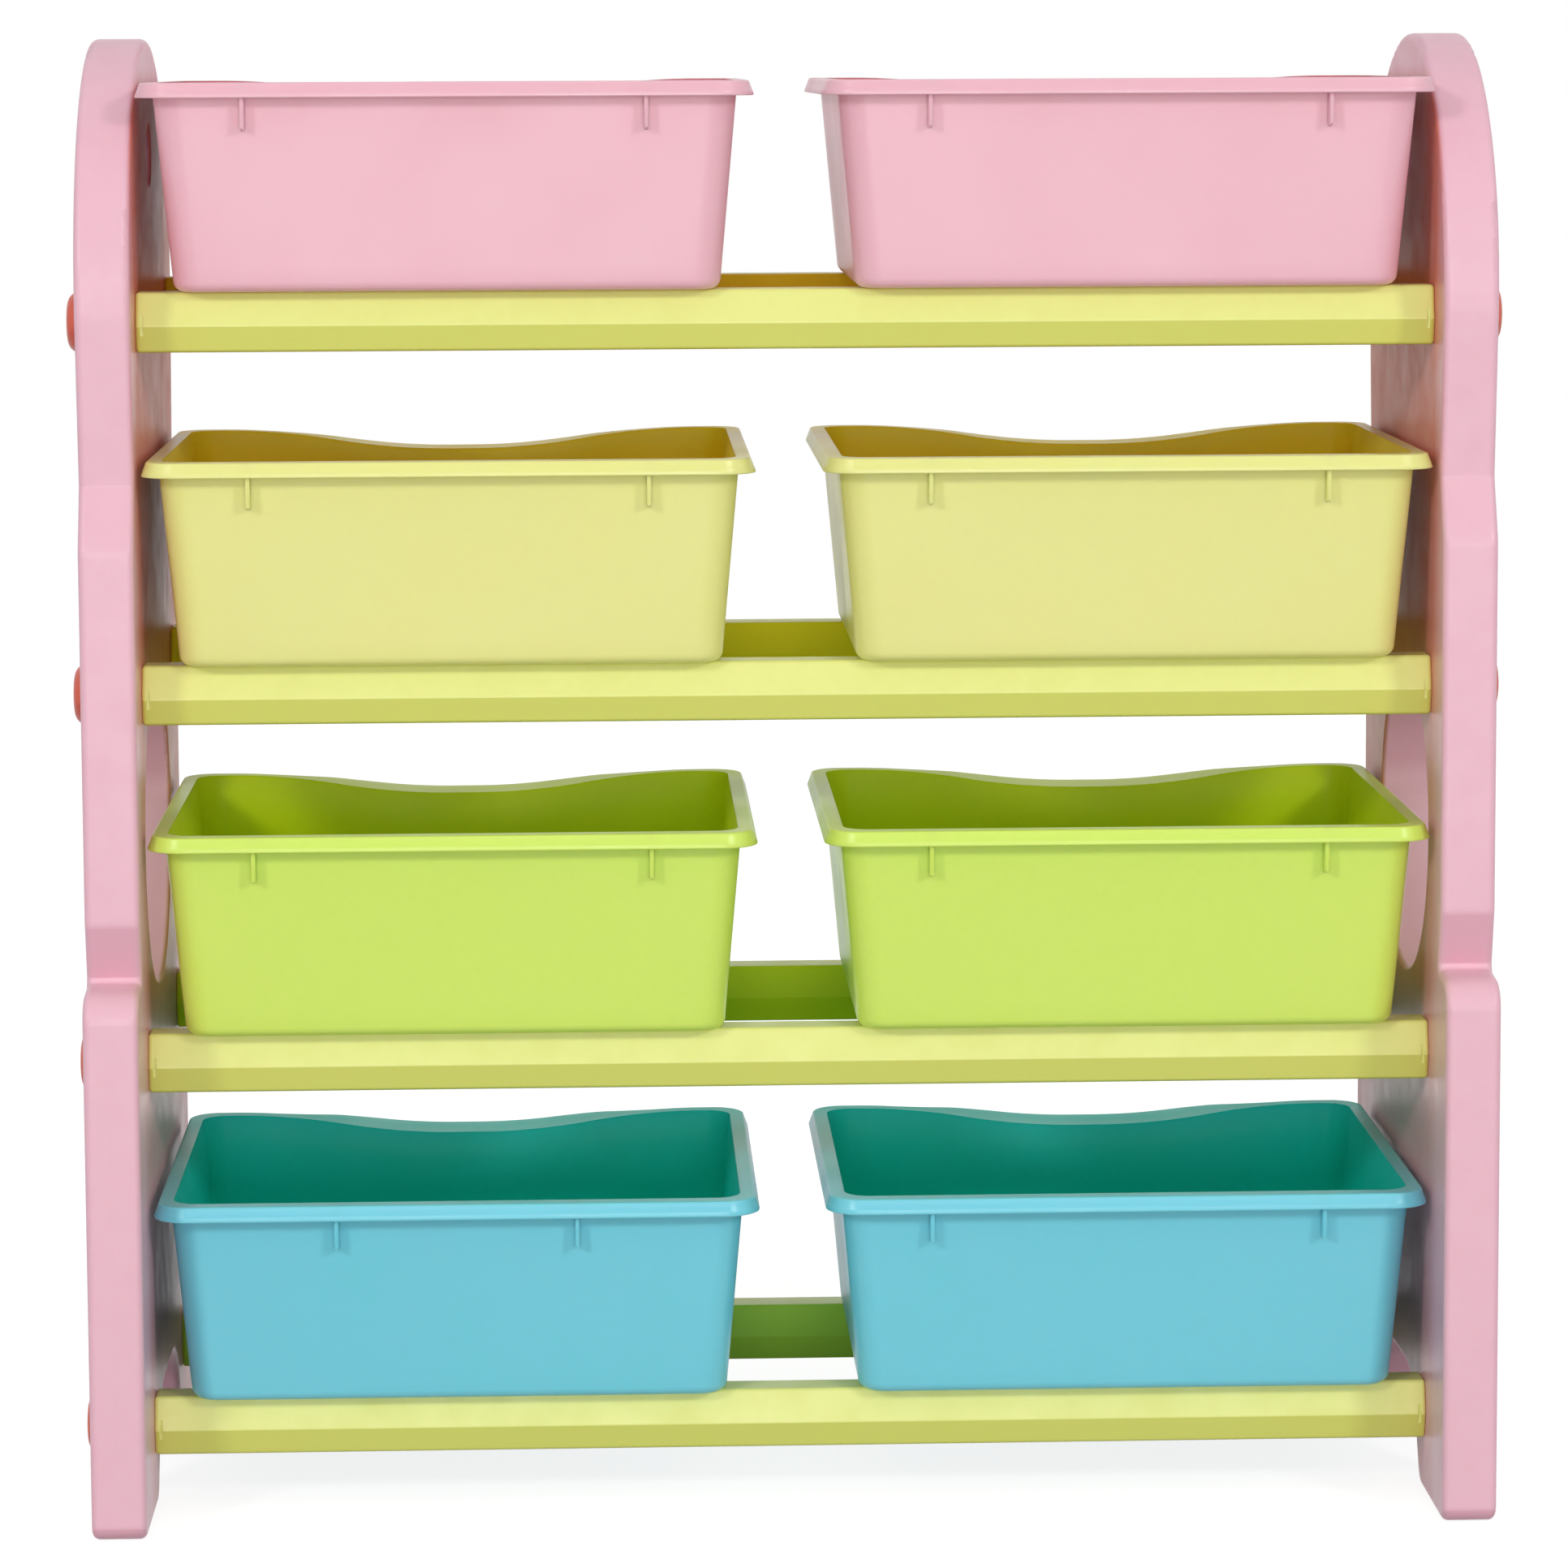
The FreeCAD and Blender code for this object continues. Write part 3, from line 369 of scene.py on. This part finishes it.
def polyethylene(name, shade, deep, seam=None, glow=None):
    """Satin polyethylene, blow-moulded: dull gloss, a grain of 0.6 mm and slow waves where the skin shrank.

    It is painted deeper in colour where it faces down, a painted shade. With seam given, a raised line 1 mm
    wide runs where |x| has that value, and the panels' inner faces get painted orange light. With glow
    given, the faces that look forward are painted that colour, painted light as of light that has passed
    the bins. Painted places have less sheen."""
    made, tree = empty_material(name)
    place = add(tree, "ShaderNodeTexCoord").outputs["Object"]
    waves = add(tree, "ShaderNodeTexNoise", {"Vector": place, "Scale": 1 / wave_length, "Detail": 2.0})
    grain = add(tree, "ShaderNodeTexNoise", {"Vector": place, "Scale": 1 / grain_size, "Detail": 1.0})
    mottle = add(tree, "ShaderNodeTexNoise", {"Vector": place, "Scale": 1 / mottle_size, "Detail": 4.0,
                                              "Roughness": 0.6})
    drift = add(tree, "ShaderNodeMapRange", {
        "Value": mottle.outputs["Fac"], "From Min": 0.35, "From Max": 0.75, "To Min": 0.0, "To Max": 0.16})
    surface = add(tree, "ShaderNodeNewGeometry")
    facing = add(tree, "ShaderNodeSeparateXYZ", {"Vector": surface.outputs["Normal"]})
    # Painted shade: faces that look down are mixed towards the deeper colour.
    under = add(tree, "ShaderNodeMapRange", {
        "Value": facing.outputs["Z"], "From Min": -0.10, "From Max": -0.25, "To Min": 0.0, "To Max": 0.75})
    share = add(tree, "ShaderNodeMath", {0: drift.outputs["Result"], 1: under.outputs["Result"]},
                operation="MAXIMUM")
    colour = add(tree, "ShaderNodeMix", {0: share.outputs[0], 6: linear(shade), 7: linear(deep)},
                 data_type="RGBA")
    gloss = add(tree, "ShaderNodeMapRange", {
        "Value": mottle.outputs["Fac"], "From Min": 0.3, "From Max": 0.7, "To Min": 0.33, "To Max": 0.45})
    relief = add(tree, "ShaderNodeMath", {0: grain.outputs["Fac"], 1: grain_height,
                                          2: waves.outputs["Fac"]}, operation="MULTIPLY_ADD")
    height, sheen, tints = relief.outputs[0], 0.5, []
    if seam is not None:
        parts = add(tree, "ShaderNodeSeparateXYZ", {"Vector": place})
        apart = add(tree, "ShaderNodeMath", {0: parts.outputs["X"]}, operation="ABSOLUTE")
        on_seam = add(tree, "ShaderNodeMath", {0: apart.outputs[0], 1: seam, 2: seam_half_width},
                      operation="COMPARE")
        height = add(tree, "ShaderNodeMath", {0: on_seam.outputs[0], 1: seam_height, 2: height},
                     operation="MULTIPLY_ADD").outputs[0]
        # Painted light: the panels' inner faces are mixed towards orange between the tiers.
        tints.append((painted_light_between_tiers(tree, place), painted_light_orange))
    # Painted light: faces that look forward are mixed towards the glow colour.
    if glow is not None:
        forward = add(tree, "ShaderNodeMapRange", {
            "Value": facing.outputs["Y"], "From Min": -0.3, "From Max": -0.6, "To Min": 0.0, "To Max": 0.9})
        tints.append((forward.outputs["Result"], glow))
    for amount, tint in tints:
        colour = add(tree, "ShaderNodeMix", {0: amount, 6: colour.outputs[2], 7: linear(tint)},
                     data_type="RGBA")
        fade = add(tree, "ShaderNodeMapRange", {"Value": amount, "To Min": 0.5, "To Max": 0.0})
        sheen = fade.outputs["Result"]
    bump = add(tree, "ShaderNodeBump", {"Height": height, "Strength": 0.35, "Distance": 0.004})
    shader = add(tree, "ShaderNodeBsdfPrincipled", {
        "Base Color": colour.outputs[2], "Roughness": gloss.outputs["Result"], "IOR": 1.5,
        "Specular IOR Level": sheen, "Normal": bump.outputs["Normal"], "Subsurface Weight": 0.08,
        "Subsurface Scale": 0.003})
    add(tree, "ShaderNodeOutputMaterial", {"Surface": shader.outputs["BSDF"]})
    return made


def dress(node_name, material):
    """Gives a carried-over CAD piece its material."""
    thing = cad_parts[node_name]
    thing.data.materials.clear()
    thing.data.materials.append(material)


# The deeper pink is painted shade on faces that look down, and the mottle's tone; the seam also brings the
# painted orange light.
panel_plastic = polyethylene("blow_moulded_polyethylene_pink", "#EAB8C7", "#DAA0B1", panel_middle)
for side_name in ("left", "right"):
    dress(f"{side_name}_side_panel", panel_plastic)

# ==============================================================================================
# Rails
# Eight hollow bars of pale yellow polyethylene, blow-moulded, with a shallow ridge front and rear.
# A square tenon on each end sits in the side panel. The rear rails' forward faces are painted the colour
# of the light that has passed the bins of their tier: painted light.
# ==============================================================================================

# The deeper yellow is painted shade where the rails face down, and the mottle's tone.
rail_shade, rail_mottle_and_painted_shade = "#E7EA8A", "#CCCE56"
# Painted light on the rear rails' forward faces, one colour a tier.
rear_rail_painted_light = {"bottom": "#B0E64A", "lower": "#D8F010", "upper": "#FFF00C", "top": "#FFD810"}
rail_plastic = polyethylene("blow_moulded_polyethylene_yellow", rail_shade, rail_mottle_and_painted_shade)
for tier_name, glow in rear_rail_painted_light.items():
    dress(f"{tier_name}_front_rail", rail_plastic)
    painted_light_plastic = polyethylene(f"blow_moulded_polyethylene_yellow_{tier_name}", rail_shade, rail_mottle_and_painted_shade,
                               glow=glow)
    dress(f"{tier_name}_rear_rail", painted_light_plastic)

# ==============================================================================================
# Screws
# Sixteen large domed screws of red-orange nylon, moulded, with a slot for a coin. They pass through
# the side panels from outside into the rails' ends.
# ==============================================================================================

# The deeper red is painted shade where the screws face down, and the mottle's tone.
screw_plastic = polyethylene("moulded_nylon_red", "#D8604A", "#C24F3B")
for side_name in ("left", "right"):
    for depth_name in ("front", "rear"):
        dress(f"{side_name}_{depth_name}_screws", screw_plastic)

# ==============================================================================================
# Studio
# White paper under a white surround, an even fill, two soft lamps 7 m away, high left and high right
# in front, and a third one low. The paper's glow, which only the camera and reflections see, makes it
# white and leaves a faint shadow round the feet.
# ==============================================================================================

paper_grey, paper_glow = 0.42, 0.82
paper_half, paper_gap = 6, 0.0005
surround_fill = 0.52


def lay_floor():
    """A square floor, 12 m wide, a hair below the feet."""
    corners = np.array([[-1, -1, 0], [1, -1, 0], [1, 1, 0], [-1, 1, 0]]) * paper_half - [0, 0, paper_gap]
    floor = build_mesh("studio_floor", corners, [[0, 1, 2, 3]], crease_angle)
    paper, tree = empty_material("studio_paper_white")
    path = add(tree, "ShaderNodeLightPath")
    seen = add(tree, "ShaderNodeMath", {
        0: path.outputs["Is Camera Ray"], 1: path.outputs["Is Glossy Ray"]}, operation="MAXIMUM")
    strength = add(tree, "ShaderNodeMath", {0: seen.outputs[0], 1: paper_glow}, operation="MULTIPLY")
    diffuse = add(tree, "ShaderNodeBsdfDiffuse", {"Color": (paper_grey, paper_grey, paper_grey, 1)})
    glow = add(tree, "ShaderNodeEmission", {"Color": (1, 1, 1, 1), "Strength": strength.outputs[0]})
    both = add(tree, "ShaderNodeAddShader", {0: diffuse.outputs[0], 1: glow.outputs[0]})
    add(tree, "ShaderNodeOutputMaterial", {"Surface": both.outputs[0]})
    floor.data.materials.append(paper)


def hang_lamp(name, position, target, size, watts):
    """A square soft lamp that points at a spot."""
    light = bpy.data.lights.new(name, "AREA")
    light.shape = "SQUARE"
    light.size = size
    light.energy = watts
    lamp = bpy.data.objects.new(name, light)
    lamp.location = position
    aim = np.array(target) - np.array(position)
    yaw = math.atan2(aim[1], aim[0]) - math.pi / 2
    pitch = math.atan2(math.hypot(aim[0], aim[1]), -aim[2])
    lamp.rotation_euler = (pitch, 0, yaw)
    bpy.context.scene.collection.objects.link(lamp)


def light_surround(fill):
    """White to the camera and in reflections, a plain fill for everything else."""
    world = bpy.data.worlds.new("white_surround")
    bpy.context.scene.world = world
    world.use_nodes = True
    tree = world.node_tree
    tree.nodes.clear()
    path = add(tree, "ShaderNodeLightPath")
    seen = add(tree, "ShaderNodeMath", {
        0: path.outputs["Is Camera Ray"], 1: path.outputs["Is Glossy Ray"]}, operation="MAXIMUM")
    through = add(tree, "ShaderNodeMath", {
        0: seen.outputs[0], 1: path.outputs["Is Transmission Ray"]}, operation="MAXIMUM")
    level = add(tree, "ShaderNodeMapRange", {"Value": through.outputs[0], "To Min": fill, "To Max": 1.0})
    glow = add(tree, "ShaderNodeBackground", {"Color": (1, 1, 1, 1), "Strength": level.outputs["Result"]})
    add(tree, "ShaderNodeOutputWorld", {"Surface": glow.outputs[0]})


lay_floor()
light_surround(surround_fill)
for lamp_name, side in (("left_softbox", -1), ("right_softbox", 1)):
    hang_lamp(lamp_name, position=(3.6 * side, -5.2, 3.1), target=(0, 0, 0.45), size=0.9, watts=93)
hang_lamp("low_softbox", position=(0, -6.0, 0.4), target=(0, 0, 0.2), size=2.4, watts=124)
bpy.context.scene.view_settings.view_transform = "Standard"

# ==============================================================================================
# Camera
# Where the photograph was taken from: 3.3 m in front, a little left of the middle and at the height of
# the top bins, looking down 6 degrees, with the frame shifted down.
# ==============================================================================================

camera_place = (-0.116, -3.328, 0.8805)
look_down, roll, turn = 6.2, 0.27, -2.043
focal_length, film_width, frame_shift = 123.2, 36, -0.0917

lens = bpy.data.cameras.new("photo_camera")
lens.lens = focal_length
lens.shift_y = frame_shift
lens.sensor_width = film_width
camera = bpy.data.objects.new("photo_camera", lens)
camera.location = camera_place
camera.rotation_euler = (math.radians(90 - look_down), math.radians(roll), math.radians(turn))
bpy.context.scene.collection.objects.link(camera)
bpy.context.scene.camera = camera
